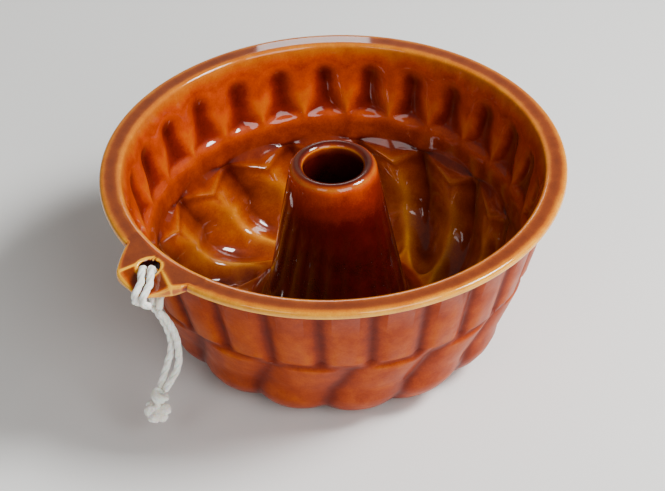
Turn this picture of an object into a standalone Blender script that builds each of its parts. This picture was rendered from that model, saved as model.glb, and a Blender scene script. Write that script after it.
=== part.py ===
# Glazed stoneware ring-cake mould with a cotton hanging cord.
# The mould's wall carries two bands: upright flutes above, swirled lobes below.

import math

import bmesh
import bpy
import numpy as np
from mathutils import Matrix, Vector

# Overall sizes of the mould, in metres
HEIGHT = 0.096
RIM_RADIUS = 0.110
RIM_WIDTH = 0.0107
RIM_EDGE = 0.0038
RIM_OVERHANG = 0.0045
RIM_ROUND = 0.0012

# Outer line of the wall, through the crests of its flutes and lobes
CREASE_HEIGHT = 0.0495
CREASE_RADIUS = 0.0945
CREASE_DEPTH = 0.0015
HAUNCH_HEIGHT = 0.026
HAUNCH_RADIUS = 0.0860
FOOT_RADIUS = 0.0560
FOOT_WIDTH = 0.0100

# Wall and floor
WALL = 0.0070
FLOOR = 0.0058
PLAIN_BAND = 0.0105
STEP_BAND = 0.010

# Upright flutes
FLUTES = 26
FLUTE_DEPTH = 0.0026
NICHE_DEPTH = 0.0030
FLUTE_PHASE = math.radians(222.9)

# Swirled lobes
LOBES = 15
LOBE_DEPTH = 0.0030
RIDGE_RISE = 0.0038
TROUGH_DEPTH = 0.0006
TROUGH_END = 0.0470
HEAD_RISE = 0.0050
HEAD_DROP = 0.0065
LOBE_PHASE = math.radians(232.5)
SWIRL_PER_HEIGHT = 5.41
SWIRL_PER_RADIUS = 8.7
SWIRL_GAIN = 150.0

# Centre tube
TUBE_HEIGHT = 0.0953
TUBE_TOP_RADIUS = 0.0203
TUBE_FOOT_RADIUS = 0.0345
TUBE_FOOT_HEIGHT = 0.017
TUBE_WALL = 0.0059
TUBE_LIP = 0.0026
TUBE_FLARE = 0.0075

# Hanging lug
LUG_REACH = 0.0140
LUG_THICKNESS = 0.0054
LUG_BASE_WIDTH = 0.041
LUG_TIP_WIDTH = 0.0175
LUG_CORNER = 0.0070
LUG_THROAT = 0.0090
LUG_EDGE_ROUND = 0.0010
LUG_HOLE_RADIUS = 0.0047
LUG_HOLE_FROM_RIM = 0.0005
LUG_HOLE_ALONG = 0.0012
LUG_HOLE_ROUND = 0.0010
GUTTER_DROP = 0.0036
GUTTER_BACK = 0.0021
GUTTER_SPREAD = math.radians(39.5)
GUTTER_TURN = math.radians(28.5)

# Cord: one doubled length, hitched through the lug and knotted at its ends
CORD_DIAMETER = 0.0035
CORD_GAP = 0.0003
SWING_DEPTH = 0.0165
SWING_OUT = 0.0055
SWING_ALONG = 0.0090
STRAND_SPACING = 0.0040
KNOT_DEPTH = 0.0466
KNOT_OUT = 0.0016
KNOT_TILT = math.radians(33)
KNOT_WIDTH = 0.0090
KNOT_HEIGHT = 0.0062
TUFT_DEPTH = 0.0562
TUFT_OUT = 0.0062
TUFT_WIDTH = 0.0138
TUFT_LOBES = 7

# The box of the mould is centred on the origin, so its axis stands off by half the lug
AXIS_X = LUG_REACH / 2

SMOOTH_RING = 60
TUBE_RING = 48


def make_material(name, colour, roughness):
    material = bpy.data.materials.new(name)
    material.use_nodes = True
    shader = material.node_tree.nodes["Principled BSDF"]
    shader.inputs["Base Color"].default_value = (*colour, 1.0)
    shader.inputs["Roughness"].default_value = roughness
    shader.inputs["Metallic"].default_value = 0.0
    return material


def make_object(name, bm, material):
    mesh = bpy.data.meshes.new(name)
    bm.to_mesh(mesh)
    bm.free()
    mesh.materials.append(material)
    mesh.shade_smooth()
    mesh.set_sharp_from_angle(angle=math.radians(38))
    obj = bpy.data.objects.new(name, mesh)
    bpy.context.collection.objects.link(obj)
    return obj


# Repeat of one flute or lobe: position 0 is its groove, 0.5 its crest

def valley(position, sharpness):
    return max(0.0, 1 - 2 * abs(position)) ** sharpness


def niche(position, fullness):
    return (0.5 - 0.5 * math.cos(2 * math.pi * position)) ** fullness


def arch(position):
    return 1 - (1 - 2 * abs(position)) ** 2


def beak(position):
    return (2 * abs(position)) ** 1.15


FLUTE_STOPS = (0.0, 0.13, 0.36, -0.36, -0.13)
LOBE_STOPS = (0.0, 0.08, 0.20, 0.36, 0.5, -0.36, -0.20, -0.08)


def angles_of(count, stops, phase):
    """(angle, position within the repeat) of each point of a patterned ring"""
    pitch = 2 * math.pi / count
    found = []
    for repeat in range(count):
        for stop in stops:
            place = stop if stop >= 0 else 1 + stop
            found.append((phase + (repeat + place) * pitch, stop))
    return found


def fluted():
    return angles_of(FLUTES, FLUTE_STOPS, FLUTE_PHASE)


def lobed(swirl):
    return angles_of(LOBES, LOBE_STOPS, LOBE_PHASE - math.radians(swirl))


def plain(count):
    return [(FLUTE_PHASE + 2 * math.pi * i / count, 0.0) for i in range(count)]


# The outer line of the wall

WALL_TOP_RADIUS = RIM_RADIUS - RIM_OVERHANG
WALL_TOP_HEIGHT = HEIGHT - RIM_EDGE - 0.0010


def taper(height, low, low_radius, high, high_radius):
    return low_radius + (high_radius - low_radius) * (height - low) / (high - low)


def crest_radius(height):
    if height >= CREASE_HEIGHT:
        return taper(height, CREASE_HEIGHT, CREASE_RADIUS, WALL_TOP_HEIGHT, WALL_TOP_RADIUS)
    return taper(height, HAUNCH_HEIGHT, HAUNCH_RADIUS, CREASE_HEIGHT, CREASE_RADIUS)


def haunch(turn, inset, floor):
    """Point of the round between wall and foot, turn from 0 at the wall to 1 at the foot"""
    angle = turn * math.pi / 2
    reach = HAUNCH_RADIUS - inset - FOOT_RADIUS
    return (
        FOOT_RADIUS + reach * math.cos(angle),
        HAUNCH_HEIGHT - (HAUNCH_HEIGHT - floor) * math.sin(angle),
    )


def swirl_at(radius, height):
    """Degrees that the lobes have turned by this place of the wall or floor"""
    down = max(0.0, CREASE_HEIGHT - max(height, HAUNCH_HEIGHT)) * 1000 * SWIRL_PER_HEIGHT / 17.5
    inward = max(0.0, HAUNCH_RADIUS - WALL - TROUGH_DEPTH - radius)
    return down + inward * 1000 * SWIRL_PER_RADIUS / 17.5 + SWIRL_GAIN * 55 * inward**2


class Shell:
    """The closed skin of the mould, grown ring by ring along its meridian"""

    def __init__(self):
        self.bm = bmesh.new()
        self.rings = []

    def ring(self, places, point):
        """One ring: point(position) gives the radius and height at each of its places"""
        made = []
        for angle, position in places:
            radius, height = point(position)
            spot = (AXIS_X + radius * math.cos(angle), radius * math.sin(angle), height)
            made.append(self.bm.verts.new(spot))
        self.rings.append(made)

    def swirled_ring(self, point):
        """A ring of lobes, each point turned by the swirl at its own place"""
        made = []
        for angle, position in angles_of(LOBES, LOBE_STOPS, LOBE_PHASE):
            radius, height = point(position)
            turned = angle - math.radians(swirl_at(radius, height))
            spot = (AXIS_X + radius * math.cos(turned), radius * math.sin(turned), height)
            made.append(self.bm.verts.new(spot))
        self.rings.append(made)

    def join(self, first, second):
        count = len(first)
        if count == len(second):
            for i in range(count):
                j = (i + 1) % count
                self.bm.faces.new((first[i], first[j], second[j], second[i]))
            return
        edges = []
        for ring in (first, second):
            edges += [self.bm.edges.get((ring[i - 1], ring[i])) for i in range(len(ring))]
        bmesh.ops.bridge_loops(self.bm, edges=edges)

    def close(self):
        pairs = list(zip(self.rings, self.rings[1:] + self.rings[:1]))
        for ring in self.rings:
            for i in range(len(ring)):
                self.bm.edges.new((ring[i - 1], ring[i]))
        for first, second in sorted(pairs, key=lambda pair: len(pair[0]) != len(pair[1])):
            self.join(first, second)
        bmesh.ops.recalc_face_normals(self.bm, faces=self.bm.faces)
        return self.bm


def add_outer_wall(shell):
    shell.ring(plain(SMOOTH_RING), lambda p: (FOOT_RADIUS, 0.0))
    for turn, depth in ((0.82, 0.35), (0.62, 0.8), (0.42, 1.0), (0.2, 1.0), (0.0, 1.0)):
        radius, height = haunch(turn, 0.0, 0.0)
        sink = depth * LOBE_DEPTH
        angle = turn * math.pi / 2
        shell.ring(
            lobed(swirl_at(HAUNCH_RADIUS, height) + 6 * turn),
            lambda p: (
                radius - sink * valley(p, 3) * math.cos(angle),
                height + sink * valley(p, 3) * math.sin(angle),
            ),
        )
    for share, depth in ((0.45, 1.0), (0.85, 0.95), (0.955, 0.7)):
        height = HAUNCH_HEIGHT + share * (CREASE_HEIGHT - HAUNCH_HEIGHT)
        shell.ring(
            lobed(swirl_at(HAUNCH_RADIUS, height)),
            lambda p: (crest_radius(height) - depth * LOBE_DEPTH * valley(p, 3), height),
        )
    shell.ring(lobed(0.0), lambda p: (CREASE_RADIUS - CREASE_DEPTH, CREASE_HEIGHT))
    low = CREASE_HEIGHT + 0.0013
    for share, depth in ((0.0, 0.9), (0.35, 1.0), (0.75, 1.0), (0.97, 0.85)):
        height = low + share * (WALL_TOP_HEIGHT - low)
        shell.ring(
            fluted(),
            lambda p: (crest_radius(height) - depth * FLUTE_DEPTH * valley(p, 3.5), height),
        )


def add_rim(shell):
    inner = RIM_RADIUS - RIM_WIDTH
    under = HEIGHT - RIM_EDGE
    outline = (
        (WALL_TOP_RADIUS + 0.3 * RIM_OVERHANG, under - 0.0002),
        (RIM_RADIUS - RIM_ROUND, under),
        (RIM_RADIUS - 0.3 * RIM_ROUND, under + 0.3 * RIM_ROUND),
        (RIM_RADIUS, under + RIM_ROUND),
        (RIM_RADIUS, HEIGHT - RIM_ROUND),
        (RIM_RADIUS - 0.3 * RIM_ROUND, HEIGHT - 0.3 * RIM_ROUND),
        (RIM_RADIUS - RIM_ROUND, HEIGHT),
        (inner + RIM_ROUND, HEIGHT),
        (inner + 0.3 * RIM_ROUND, HEIGHT - 0.3 * RIM_ROUND),
        (inner, HEIGHT - RIM_ROUND),
    )
    for radius, height in outline:
        shell.ring(plain(2 * SMOOTH_RING), lambda p: (radius, height))


def inside_radius(height):
    """The inner wall at the level of its ridges"""
    top = RIM_RADIUS - RIM_WIDTH
    step = CREASE_HEIGHT + STEP_BAND
    step_radius = crest_radius(step) - WALL
    if height > step:
        return taper(height, step, step_radius, HEIGHT, top)
    return crest_radius(height) - WALL


def add_inner_flutes(shell):
    """Arched niches between ridges that end in points on the ledge below"""
    band = HEIGHT - PLAIN_BAND
    step = CREASE_HEIGHT + STEP_BAND
    for drop, depth in ((-0.0010, 0.0), (0.0020, 0.9)):
        shell.ring(
            fluted(),
            lambda p: (
                inside_radius(band - drop) + depth * NICHE_DEPTH * niche(p, 1.6),
                band - drop - 0.0045 * (1 - arch(p)),
            ),
        )
    for share, fullness in ((0.5, 1.4), (0.08, 0.9)):
        height = step + share * (band - step)
        shell.ring(
            fluted(),
            lambda p: (inside_radius(height) + NICHE_DEPTH * niche(p, fullness), height),
        )
    shell.ring(fluted(), lambda p: (inside_radius(step), step - 0.0015 * niche(p, 1.3)))


def lobe_rise(position):
    """Inside, a lobe's ridge stands up into the ring and its trough is sunk a little"""
    return (RIDGE_RISE + TROUGH_DEPTH) * beak(position) - TROUGH_DEPTH


def add_inner_lobes(shell):
    """Facets with a pointed edge under the plain step, then the ridges down to the floor"""
    root = CREASE_HEIGHT - 0.0030
    shell.ring(lobed(0.0), lambda p: (inside_radius(root + 0.008), root + 0.008))
    shell.ring(
        lobed(0.0),
        lambda p: (inside_radius(root + HEAD_RISE * arch(p)), root + HEAD_RISE * arch(p)),
    )
    for drop, settled in ((0.0003, 0.0), (0.0022, 1.0)):
        shell.swirled_ring(
            lambda p: (
                inside_radius(root - drop) - 0.07 * HEAD_DROP * beak(p)
                - (1 - settled) * RIDGE_RISE * (2 * abs(p)) ** 0.75 - settled * lobe_rise(p),
                root - drop - HEAD_DROP * beak(p),
            )
        )
    waist = HAUNCH_HEIGHT + 0.004
    shell.swirled_ring(lambda p: (inside_radius(waist) - lobe_rise(p), waist))
    for turn in (0.0, 0.25, 0.45, 0.65, 0.85):
        radius, height = haunch(turn, WALL, FLOOR)
        angle = turn * math.pi / 2
        shell.swirled_ring(
            lambda p: (
                radius - lobe_rise(p) * math.cos(angle),
                height + lobe_rise(p) * math.sin(angle),
            )
        )
    for reach, opened in ((0.0075, 1.0), (0.0030, 0.75), (0.0, 0.2), (-0.0020, 0.0)):
        radius = TROUGH_END + reach
        shell.swirled_ring(
            lambda p: (radius, FLOOR + RIDGE_RISE - opened * (RIDGE_RISE - lobe_rise(p)))
        )


def tube_radius(height):
    return taper(height, TUBE_FOOT_HEIGHT, TUBE_FOOT_RADIUS, TUBE_HEIGHT, TUBE_TOP_RADIUS)


def add_tube(shell):
    foot = tube_radius(TUBE_FOOT_HEIGHT)
    for share, lift in ((0.8, 0.0010), (0.3, 0.0040)):
        radius = foot + share * TUBE_FLARE
        shell.swirled_ring(lambda p: (radius, FLOOR + RIDGE_RISE + lift))
    top = TUBE_HEIGHT
    bore = TUBE_TOP_RADIUS - TUBE_WALL
    outline = (
        (foot, TUBE_FOOT_HEIGHT),
        (tube_radius(0.5 * TUBE_HEIGHT), 0.5 * TUBE_HEIGHT),
        (tube_radius(top - TUBE_LIP), top - TUBE_LIP),
        (TUBE_TOP_RADIUS - 0.25 * TUBE_LIP, top - 0.4 * TUBE_LIP),
        (TUBE_TOP_RADIUS - 0.8 * TUBE_LIP, top),
        (bore + 0.6 * TUBE_LIP, top),
        (bore + 0.1 * TUBE_LIP, top - 0.4 * TUBE_LIP),
        (bore, top - TUBE_LIP),
        (tube_radius(0.5 * TUBE_HEIGHT) - TUBE_WALL, 0.5 * TUBE_HEIGHT),
        (foot - TUBE_WALL, TUBE_FOOT_HEIGHT),
    )
    for radius, height in outline:
        shell.ring(plain(TUBE_RING), lambda p: (radius, height))


def add_underside(shell):
    """From the foot of the hollow tube out to the flat ring that the mould stands on"""
    hollow = TUBE_FOOT_RADIUS - TUBE_WALL
    ring = FOOT_RADIUS - FOOT_WIDTH
    for turn in (0.3, 0.6, 0.85, 1.0):
        angle = turn * math.pi / 2
        radius = hollow + (ring - hollow) * (1 - math.cos(angle))
        height = TUBE_FOOT_HEIGHT * (1 - math.sin(angle))
        shell.ring(plain(TUBE_RING), lambda p: (radius, height))


def rounded_outline(corners):
    """Plan outline through (x, y, fillet radius) corners, in order"""
    points = []
    for i, (x, y, fillet) in enumerate(corners):
        here = Vector((x, y))
        back = (Vector(corners[i - 1][:2]) - here).normalized()
        ahead = (Vector(corners[(i + 1) % len(corners)][:2]) - here).normalized()
        if fillet == 0:
            points.append(here)
            continue
        half = back.angle(ahead) / 2
        centre = here + (back + ahead).normalized() * fillet / math.sin(half)
        start = here + back * fillet / math.tan(half) - centre
        sweep = start.angle_signed(here + ahead * fillet / math.tan(half) - centre)
        for step in range(7):
            turned = start.copy()
            turned.rotate(Matrix.Rotation(-sweep * step / 6, 2))
            points.append(centre + turned)
    return points


def lug_blank(material):
    tip = -(RIM_RADIUS + LUG_REACH)
    rim = -(RIM_RADIUS - 0.001)
    root = -(RIM_RADIUS - 0.6 * RIM_WIDTH)
    corners = (
        (root, -LUG_BASE_WIDTH / 2 - 0.001, 0),
        (rim, -LUG_BASE_WIDTH / 2, LUG_THROAT),
        (tip, -LUG_TIP_WIDTH / 2, LUG_CORNER),
        (tip, LUG_TIP_WIDTH / 2, LUG_CORNER),
        (rim, LUG_BASE_WIDTH / 2, LUG_THROAT),
        (root, LUG_BASE_WIDTH / 2 + 0.001, 0),
    )
    bm = bmesh.new()
    top = HEIGHT - 0.0001
    outline = [bm.verts.new((AXIS_X + p.x, p.y, top)) for p in rounded_outline(corners)]
    face = bm.faces.new(outline)
    deep = bmesh.ops.extrude_face_region(bm, geom=[face])
    lower = [item for item in deep["geom"] if isinstance(item, bmesh.types.BMVert)]
    bmesh.ops.translate(bm, verts=lower, vec=(0, 0, -LUG_THICKNESS))
    bmesh.ops.recalc_face_normals(bm, faces=bm.faces)
    rims = [e for e in bm.edges if abs(e.verts[0].co.z - e.verts[1].co.z) < 1e-6]
    bmesh.ops.bevel(bm, geom=rims, offset=LUG_EDGE_ROUND, segments=2, affect="EDGES", profile=0.5)
    return make_object("lug_blank", bm, material)


def turned_cutter(name, outline, segments, material):
    """Solid of revolution about Z from a (radius, height) outline, top to bottom"""
    bm = bmesh.new()
    rings = []
    for radius, height in outline:
        circle = bmesh.ops.create_circle(bm, segments=segments, radius=radius)["verts"]
        bmesh.ops.translate(bm, verts=circle, vec=(0, 0, height))
        rings.append(circle)
    for first, second in zip(rings, rings[1:]):
        for i in range(segments):
            bm.faces.new((first[i - 1], first[i], second[i], second[i - 1]))
    bm.faces.new(rings[0])
    bm.faces.new(rings[-1])
    bmesh.ops.recalc_face_normals(bm, faces=bm.faces)
    cutter = make_object(name, bm, material)
    cutter.hide_render = True
    cutter.display_type = "WIRE"
    return cutter


def hole_centre():
    return Vector((AXIS_X - RIM_RADIUS - LUG_HOLE_FROM_RIM, LUG_HOLE_ALONG, 0))


def hole_cutter(material):
    top = HEIGHT + 0.002
    base = HEIGHT - LUG_THICKNESS
    wide = LUG_HOLE_RADIUS + LUG_HOLE_ROUND
    outline = (
        (wide + 0.0020, top),
        (wide, HEIGHT - GUTTER_DROP * 0.3),
        (LUG_HOLE_RADIUS, HEIGHT - GUTTER_DROP * 0.3 - LUG_HOLE_ROUND),
        (LUG_HOLE_RADIUS, base + LUG_HOLE_ROUND),
        (wide, base),
        (wide + 0.0010, base - 0.002),
    )
    cutter = turned_cutter("hole_cutter", outline, 24, material)
    cutter.location = hole_centre()
    return cutter


def gutter_cutter(material):
    """Tilted cone whose side dishes the top of the lug, from behind its hole out to its edge"""
    reach = LUG_REACH - LUG_HOLE_FROM_RIM + LUG_HOLE_RADIUS + GUTTER_BACK
    dip = math.atan2(GUTTER_DROP, reach)
    half = math.atan2(1 / math.cos(GUTTER_SPREAD) - math.cos(dip), math.sin(dip))
    length = 0.060
    outline = ((length * math.sin(half), length * math.cos(half)), (0.0001, 0))
    cutter = turned_cutter("gutter_cutter", outline, 96, material)
    tilt = math.pi / 2 - half + dip
    turn = Matrix.Rotation(math.pi + GUTTER_TURN, 4, "Z") @ Matrix.Rotation(tilt, 4, "Y")
    back = Matrix.Rotation(GUTTER_TURN, 3, "Z") @ Vector((LUG_HOLE_RADIUS + GUTTER_BACK, 0, 0))
    cutter.matrix_world = Matrix.Translation(hole_centre() + back + Vector((0, 0, HEIGHT))) @ turn
    return cutter


def apply_boolean(obj, other, operation):
    modifier = obj.modifiers.new(operation.lower() + "_" + other.name, "BOOLEAN")
    modifier.operation = operation
    modifier.object = other
    modifier.solver = "EXACT"


def build_mould(material):
    shell = Shell()
    add_outer_wall(shell)
    add_rim(shell)
    add_inner_flutes(shell)
    add_inner_lobes(shell)
    add_tube(shell)
    add_underside(shell)
    mould = make_object("mould_body", shell.close(), material)
    blank = lug_blank(material)
    blank.hide_render = True
    blank.display_type = "WIRE"
    apply_boolean(mould, blank, "UNION")
    apply_boolean(mould, gutter_cutter(material), "DIFFERENCE")
    apply_boolean(mould, hole_cutter(material), "DIFFERENCE")
    return mould


# The cord

SWING_X = hole_centre().x - SWING_OUT
SWING_Y = -SWING_ALONG
SWING_Z = HEIGHT - SWING_DEPTH

# Route of the hitch, each point as millimetres out from the hole (or lug's tip), along the rim,
# and up from the lug's top or underside, from one strand to the other
HITCH_ROUTE = (
    ("hole", -5.5, -6.7, "under", -5.6),
    ("hole", -5.0, -5.0, "under", -3.0),
    ("hole", -3.7, -1.1, "under", -2.2),
    ("hole", -2.7, 1.6, "under", -0.6),
    ("hole", -2.2, 2.2, "top", -4.0),
    ("hole", -3.2, 1.5, "top", 0.1),
    ("hole", -6.4, -1.4, "top", 0.5),
    ("hole", -10.0, -5.2, "top", -0.4),
    ("tip", -1.2, -7.4, "top", -1.7),
    ("tip", -2.0, -7.3, "top", -5.2),
    ("tip", -0.9, -6.2, "under", -2.5),
    ("tip", 1.0, -5.6, "under", -4.2),
    ("tip", 2.2, -8.8, "under", -4.2),
    ("tip", 1.4, -12.2, "under", -2.7),
    ("tip", -0.4, -13.0, "under", -0.6),
    ("tip", -1.3, -12.1, "top", -4.9),
    ("tip", -0.1, -11.8, "top", -1.5),
    ("hole", -7.5, -8.4, "top", -0.6),
    ("hole", -3.3, -4.1, "top", 0.7),
    ("hole", -0.6, -1.6, "top", 0.4),
    ("hole", 0.8, -0.7, "top", -4.0),
    ("hole", 0.7, -1.4, "under", -0.7),
    ("hole", 0.1, -5.0, "under", -2.5),
    ("hole", -2.6, -9.4, "under", -3.0),
    ("hole", -5.3, -11.2, "under", -5.6),
)

# Routes of the two strands below the swing axis, as millimetres out from it and down
LEFT_STRAND = (
    (0.0, 0.0),
    (1.4, -2.6),
    (4.1, -9.4),
    (6.3, -16.7),
    (7.4, -23.4),
    (6.8, -29.1),
    (4.9, -33.9),
    (2.6, -38.6),
    (0.9, -42.0),
    (-0.4, -44.75),
)
RIGHT_STRAND = (
    (0.0, 0.0),
    (2.6, -4.8),
    (5.6, -12.2),
    (7.5, -19.5),
    (8.0, -26.0),
    (7.9, -31.6),
    (6.9, -36.4),
    (4.6, -40.0),
    (1.7, -42.6),
    (-0.4, -44.75),
)


def smooth_route(points, spacing):
    """Evenly spaced points on a smooth curve through the route's own points"""
    route = [Vector(p) for p in points]
    route = [2 * route[0] - route[1], *route, 2 * route[-1] - route[-2]]
    fine = []
    for before, start, end, after in zip(route, route[1:], route[2:], route[3:]):
        for step in range(24):
            t = step / 24
            fine.append(
                0.5 * (2 * start + (end - before) * t
                       + (2 * before - 5 * start + 4 * end - after) * t**2
                       + (3 * start - before - 3 * end + after) * t**3)
            )
    fine.append(route[-2])
    line = np.array([tuple(p) for p in fine])
    along = np.concatenate([[0], np.cumsum(np.linalg.norm(np.diff(line, axis=0), axis=1))])
    count = round(along[-1] / spacing) + 1
    stations = np.linspace(0, along[-1], count)
    return np.column_stack([np.interp(stations, along, line[:, axis]) for axis in range(3)])


def cord_tube(name, points, radii, material, origin=(0, 0, 0)):
    curve = bpy.data.curves.new(name, "CURVE")
    curve.dimensions = "3D"
    curve.bevel_depth = CORD_DIAMETER / 2
    curve.bevel_resolution = 2
    curve.use_fill_caps = True
    spline = curve.splines.new("POLY")
    spline.points.add(len(points) - 1)
    for spot, place, radius in zip(spline.points, points, radii):
        spot.co = (*(Vector(place) - Vector(origin)), 1)
        spot.radius = radius
    curve.materials.append(material)
    obj = bpy.data.objects.new(name, curve)
    bpy.context.collection.objects.link(obj)
    return obj


def hitch_points():
    across = {"hole": hole_centre().x, "tip": AXIS_X - RIM_RADIUS - LUG_REACH}
    level = {"top": HEIGHT, "under": HEIGHT - LUG_THICKNESS}
    start = SWING_Z + CORD_DIAMETER / 2 + CORD_GAP
    route = [
        (across[side] + out / 1000, along / 1000, level[face] + up / 1000)
        for side, out, along, face, up in HITCH_ROUTE
    ]
    half = STRAND_SPACING / 2
    ends = [(SWING_X, SWING_Y + half, start), (SWING_X, SWING_Y - half, start)]
    return smooth_route([ends[0], *route, ends[1]], 0.0024)


def least_gap(points):
    """Clear distance between turns of a cord that lie more than two and a half diameters apart along it"""
    step = np.linalg.norm(points[1] - points[0])
    apart = math.ceil(2.5 * CORD_DIAMETER / step)
    nearest = min(
        np.linalg.norm(points[i + apart:] - points[i], axis=1).min() for i in range(len(points) - apart)
    )
    return nearest - CORD_DIAMETER


def build_hitch(material):
    points = hitch_points()
    print(f"hitch: least gap to itself {least_gap(points) * 1000:.2f} mm")
    cord_tube("cord_hitch", points, np.ones(len(points)), material)


def knot_top():
    return Vector((SWING_X - KNOT_OUT, SWING_Y, SWING_Z - KNOT_DEPTH))


def knot_turn():
    return Matrix.Rotation(KNOT_TILT, 3, "Y")


def build_strand(name, route, side, pivot, material):
    """A strand whose top is rounded about the swing axis and whose foot meets the knot"""
    y = SWING_Y + side * STRAND_SPACING / 2
    radius = CORD_DIAMETER / 2
    body = smooth_route([(SWING_X + out / 1000, y, SWING_Z + up / 1000) for out, up in route], 0.0062)
    foot = knot_top() + knot_turn() @ Vector((0, y - SWING_Y, CORD_GAP))
    crown = [(SWING_X, y, SWING_Z + share * radius) for share in (0.98, 0.84, 0.5)]
    points = [*crown, *body, foot]
    swell = [0.2, 0.55, 0.87] + [1.0] * (len(body) + 1)
    tube = cord_tube(name, points, swell, material, pivot.location)
    tube.parent = pivot


def knot_outline(grow):
    """Two wraps of cord between flat ends, as (radius, height) down from the knot's top"""
    wrap = KNOT_HEIGHT / 4
    wide = KNOT_WIDTH / 2 + grow
    return (
        (wide - 0.55 * wrap, grow),
        (wide - 0.15 * wrap, -0.35 * wrap + grow * 0.5),
        (wide, -wrap),
        (wide - 0.35 * wrap, -2 * wrap),
        (wide, -3 * wrap),
        (wide - 0.15 * wrap, -3.65 * wrap - grow * 0.5),
        (wide - 0.55 * wrap, -4 * wrap - grow),
    )


def build_knot(pivot, material):
    knot = turned_cutter("cord_knot", knot_outline(0), 20, material)
    knot.hide_render = False
    knot.display_type = "TEXTURED"
    knot.parent = pivot
    knot.location = knot_top() - pivot.location
    knot.rotation_euler.y = KNOT_TILT


def build_tuft(pivot, material):
    """Frayed ends below the knot: a lobed ball hollowed where the knot sits in it"""
    bm = bmesh.new()
    bmesh.ops.create_icosphere(bm, subdivisions=4, radius=TUFT_WIDTH / 2)
    for vert in bm.verts:
        turn = math.atan2(vert.co.y, vert.co.x)
        tilt = math.asin(max(-1, min(1, vert.co.z / vert.co.length)))
        lobe = abs(math.cos(TUFT_LOBES / 2 * turn + 1.5 * tilt)) * math.cos(tilt)
        vert.co *= 0.90 + 0.16 * lobe
    tuft = make_object("cord_tuft", bm, material)
    tuft.parent = pivot
    tuft.location = (-TUFT_OUT, 0, -TUFT_DEPTH)
    way = ((KNOT_WIDTH, 3 * KNOT_HEIGHT), (KNOT_WIDTH, 0.4 * KNOT_HEIGHT), *knot_outline(CORD_GAP))
    seat = turned_cutter("knot_seat", way, 20, material)
    seat.parent = pivot
    seat.location = knot_top() - pivot.location
    seat.rotation_euler.y = KNOT_TILT
    apply_boolean(tuft, seat, "DIFFERENCE")


def build_cord(material):
    build_hitch(material)
    pivot = bpy.data.objects.new("cord_pivot", None)
    pivot.location = (SWING_X, SWING_Y, SWING_Z)
    bpy.context.collection.objects.link(pivot)
    build_strand("cord_strand_left", LEFT_STRAND, 1, pivot, material)
    build_strand("cord_strand_right", RIGHT_STRAND, -1, pivot, material)
    build_knot(pivot, material)
    build_tuft(pivot, material)


def main():
    for obj in list(bpy.data.objects):
        bpy.data.objects.remove(obj, do_unlink=True)
    glaze = make_material("amber_glaze", (0.28, 0.065, 0.012), 0.15)
    cotton = make_material("cotton_cord", (0.80, 0.78, 0.70), 0.9)
    build_mould(glaze)
    build_cord(cotton)


main()
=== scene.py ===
# Ring cake mould in glazed stoneware with its cotton hanging cord
import math

import bpy
import numpy as np
from mathutils import Matrix, Vector


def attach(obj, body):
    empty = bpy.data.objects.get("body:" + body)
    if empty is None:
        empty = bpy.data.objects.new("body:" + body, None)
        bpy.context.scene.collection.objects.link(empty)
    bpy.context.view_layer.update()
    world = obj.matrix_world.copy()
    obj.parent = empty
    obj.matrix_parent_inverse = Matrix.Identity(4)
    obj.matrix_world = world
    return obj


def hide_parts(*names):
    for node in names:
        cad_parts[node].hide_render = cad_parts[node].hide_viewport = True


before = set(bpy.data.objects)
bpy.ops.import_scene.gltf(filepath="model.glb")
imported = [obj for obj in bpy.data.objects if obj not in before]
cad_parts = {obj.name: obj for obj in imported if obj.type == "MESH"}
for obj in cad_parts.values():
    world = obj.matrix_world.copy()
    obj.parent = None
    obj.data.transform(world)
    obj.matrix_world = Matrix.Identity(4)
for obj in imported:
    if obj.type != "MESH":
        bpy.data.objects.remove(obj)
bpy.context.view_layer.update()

print("frame loaded")

# Distances are in metres, save in the dictionaries that say millimetres; angles are in degrees,
# counted about the mould's own axis from +X
mm = 0.001
axisX = 0.007             # the mould's axis stands off the origin by half the lug's reach


# Camera

camera = {
    "around": 228.0,      # side of the mould that faces the camera
    "elevation": 38.8,
    "distance": 0.990,
    "roll": -1.95,
    "lens": 110.33,
    "frameWidth": 36,
    "aimRight": -0.0015,  # where it looks, beside and above the middle of the foot
    "aimHeight": 0.0452,
}


def makeCamera():
    up = math.radians(camera["elevation"])
    around = math.radians(camera["around"])
    roll = math.radians(camera["roll"])
    outward = Vector((math.cos(around), math.sin(around), 0))
    level = Vector((-outward.y, outward.x, 0))
    back = outward * math.cos(up) + Vector((0, 0, math.sin(up)))
    lift = back.cross(level)
    right = level * math.cos(roll) + lift * math.sin(roll)
    above = lift * math.cos(roll) - level * math.sin(roll)
    aim = Vector((axisX, 0, camera["aimHeight"])) + level * camera["aimRight"]
    data = bpy.data.cameras.new("photoCamera")
    data.sensor_width = camera["frameWidth"]
    data.lens = camera["lens"]
    data.clip_start = 0.01
    eye = bpy.data.objects.new("photoCamera", data)
    bpy.context.collection.objects.link(eye)
    turn = Matrix((right, above, back)).transposed().to_4x4()
    eye.matrix_world = Matrix.Translation(aim + back * camera["distance"]) @ turn
    bpy.context.scene.camera = eye


makeCamera()
print("camera placed")


# Small helpers

def pick(piece):
    bpy.ops.object.select_all(action="DESELECT")
    piece.select_set(True)
    bpy.context.view_layer.objects.active = piece


def applyModifiers(piece):
    pick(piece)
    for name in [modifier.name for modifier in piece.modifiers]:
        bpy.ops.object.modifier_apply(modifier=name)


# A six-figure sRGB colour as Blender's linear one
def linear(hexColour):
    channels = [int(hexColour[i:i + 2], 16) / 255 for i in (1, 3, 5)]
    return tuple(c / 12.92 if c <= 0.04045 else ((c + 0.055) / 1.055) ** 2.4 for c in channels) + (1,)


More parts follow.
